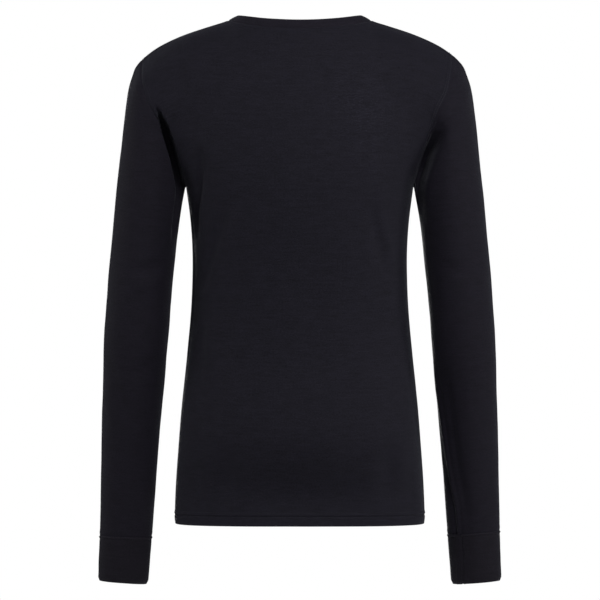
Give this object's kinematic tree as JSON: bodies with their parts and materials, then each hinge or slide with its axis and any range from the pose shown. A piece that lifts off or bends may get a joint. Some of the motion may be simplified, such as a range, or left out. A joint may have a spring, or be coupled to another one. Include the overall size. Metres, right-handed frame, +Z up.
{
  "type": "base layer top",
  "caption": "Close-fitting long-sleeved crew-neck base layer top in fine dark knit, hollow and filled out as worn, with set-in sleeves, sewn-on cuffs and a turned-up hem.",
  "frame": {"origin": "on the middle plane, over the shoulder ridge, level with the points where the shoulder seams meet the neckband", "axes": "+Z up along the wearer's back, +Y to the wearer's back, +X to the wearer's left"},
  "size_m": [0.5584, 0.2383, 0.7858],
  "materials": {
    "body_knit": "matt fine single knit, near-black navy",
    "cuff_knit": "matt doubled fine knit, near-black navy",
    "neckband_knit": "matt doubled fine knit, near-black navy"
  },
  "bodies": {
    "root": {"back": "body_knit", "front": "body_knit", "sleeve_left": "body_knit", "sleeve_right": "body_knit", "cuff_left": "cuff_knit", "cuff_right": "cuff_knit", "neckband": "neckband_knit"}
  },
  "joints": []
}
